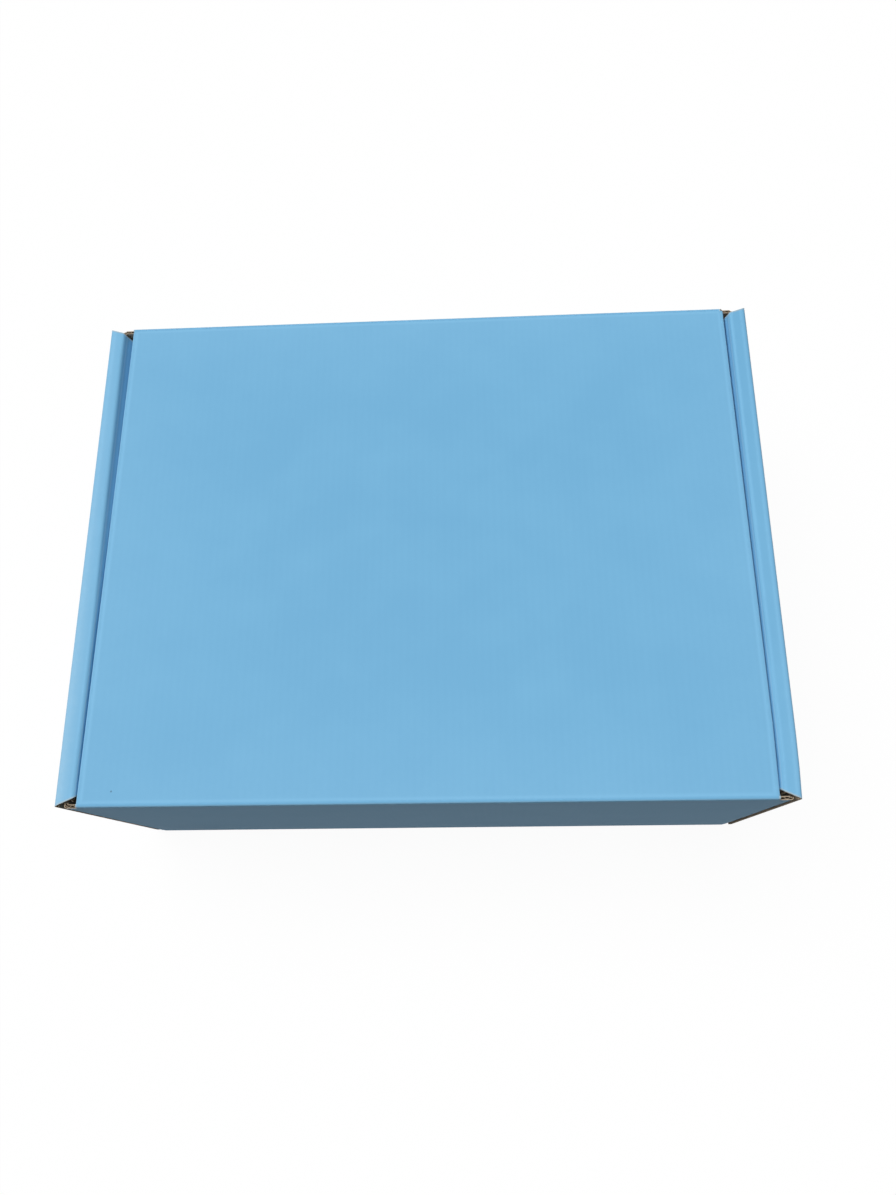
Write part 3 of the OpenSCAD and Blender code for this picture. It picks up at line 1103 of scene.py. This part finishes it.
def flap_ends(s):
    x = abs(s - flap_blank.total / 2)
    beyond = x - FLAP_HALF
    if beyond < -EAR_START:
        return FLAP_LIFT, (RIM if x < LID_HALF_FRONT else WALL_TOP)
    if beyond < BOARD_T:
        return EAR_Z, WALL_TOP
    y = -HALF_D + beyond
    farther_in = LEFT_EAR_IN if s > flap_blank.total / 2 else 0
    low, high = ear_foot(y), ear_top(y - farther_in)
    return (low, high) if low < high else ((low + high) / 2, (low + high) / 2)


# %% Front flap
ear_steps = [BOARD_T + (EAR_L - BOARD_T) * (i / EAR_STEPS) ** 2 for i in range(1, EAR_STEPS)]
flap_knots = [k for e in ear_steps for k in (EAR_L - e, flap_blank.total - EAR_L + e)]
flap_knots += both(EAR_L + EAR_START, flap_blank.total)
flap_knots += both(flap_blank.total / 2 - LID_HALF_FRONT, flap_blank.total)
front_flap = board(
    "front_flap_board",
    flap_blank,
    flap_ends,
    seat((FLAP_HALF, -HALF_D + EAR_L, 0), (0, -1, 0), (1, 0, 0)),
    knots=flap_knots,
    joins=(0, LID_HALF_FRONT),
)
finish_piece(front_flap, "front_flap", "front_flap")

# %% [markdown]
# ## Hinge creases
#
# Two creases bend each time the box is opened. If the panel on one side owned such a
# crease, it would tear from the other. So each is a strip of the two liners of its own,
# tied to neither panel. The back crease is cut a little short at the back right corner,
# as in the photograph.


# %% Hinge creases
def ease_strip(co, s, depth):
    if co.x > 0:
        co.x += (LID_SHIFT - pulled_in(co.y)) * co.x / LID_HALF_BACK
    elif co.y > 0:
        co.x -= LID_SHIFT * co.x / LID_HALF_BACK
    return co


def hinge_crease(name, way, half, corner, layer):
    """One liner where it bends from the lid down over the edge at way * HALF_D."""

    def ends(s):
        cut = slope(s, [(0, corner), (BOARD_T, corner), (2 * BOARD_T, 0)])
        return -half, half - cut

    strip = board(
        f"{name}_{layer}",
        Blank([BOARD_T, BOARD_T], [CREASE_R]),
        ends,
        seat((0, way * (HALF_D - BOARD_T), HEIGHT), (0, way, 0), (0, 0, 1)),
        layers=(layer,),
        ease=ease_strip,
    )
    finish_piece(strip, None)
    y, z = way * HALF_D, HEIGHT
    start, end = (0, y, z - BOARD_T), (0, y - way * BOARD_T, z)
    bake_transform(strip)
    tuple(start)
    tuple(end)


for layer in ("outer", "inner"):
    hinge_crease("back_crease", 1, LID_HALF_BACK, CREASE_CORNER, layer)
    hinge_crease("front_crease", -1, LID_HALF_FRONT, 0, layer)

# %% [markdown]
# ## Table
#
# The photograph's background is pure white, with hardly a shadow. A white table lit
# to white would flood the box with light from below and wash its front face out. So
# the table shows white to the camera, with a small share of real light and shadow in
# it, and is a dark grey to the light that it sends back to the box.

# %% Table
PAPER_WHITE, BOUNCE_GREY = (1, 1, 1, 1), (0.07, 0.07, 0.07, 1)
SHADOW_SHARE, TABLE_W, TABLE_DROP = 0.06, 6, 0.2 * MM


def seen_directly(finish):
    """1 for rays from the camera and for what is seen in gloss or through glass."""
    rays = ("Is Camera Ray", "Is Glossy Ray", "Is Transmission Ray")
    return sum(finish.node("ShaderNodeLightPath", output=ray) for ray in rays)


deselect()
bpy.ops.mesh.primitive_plane_add(size=TABLE_W, location=(0, 0, -TABLE_DROP))
table = bpy.context.object
table.name = "table"
white = Finish(bpy.data.materials.new("white_table"))
bounce = white.node("ShaderNodeBsdfDiffuse", {}, {"Color": BOUNCE_GREY})
lit = white.node("ShaderNodeBsdfDiffuse", {}, {"Color": PAPER_WHITE})
glow = white.node("ShaderNodeEmission", {}, {"Color": PAPER_WHITE, "Strength": 1.0})
shown = white.node("ShaderNodeMixShader", {}, {0: SHADOW_SHARE, 1: glow, 2: lit})
surface = white.node("ShaderNodeMixShader", {}, {0: seen_directly(white), 1: bounce, 2: shown})
white.give("Material Output", Surface=surface)
table.data.materials.append(white.owner)
print(table.name, TABLE_W, "m wide, shadow share", SHADOW_SHARE)

# %% [markdown]
# ## Light
#
# One broad soft lamp stands for the studio's overhead light. A large area lamp would
# do as well, but a sun with a wide angle lights all of the box evenly. It leans in from
# the left and the back, which is why the facet of the left roll is dark, the bend of
# the right roll is bright and the front flap is in shade. The world is a dim white
# fill, and white where the camera looks past the table.

# %% World and lamp
WORLD_LEVEL = 0.095
world = bpy.data.worlds.new("studio")
scene.world = world
sky = Finish(world)
fill = seen_directly(sky) * (1 - WORLD_LEVEL) + WORLD_LEVEL
sky.give("Background", Color=PAPER_WHITE, Strength=fill)

sun = bpy.data.lights.new("soft_top_light", "SUN")
sun.energy = 2.90
sun.angle = math.radians(50)
sun_object = bpy.data.objects.new("soft_top_light", sun)
sun_object.rotation_euler = (math.radians(-8), math.radians(-16), 0)
bpy.context.collection.objects.link(sun_object)
print("lamp", sun.energy, "fill", WORLD_LEVEL)
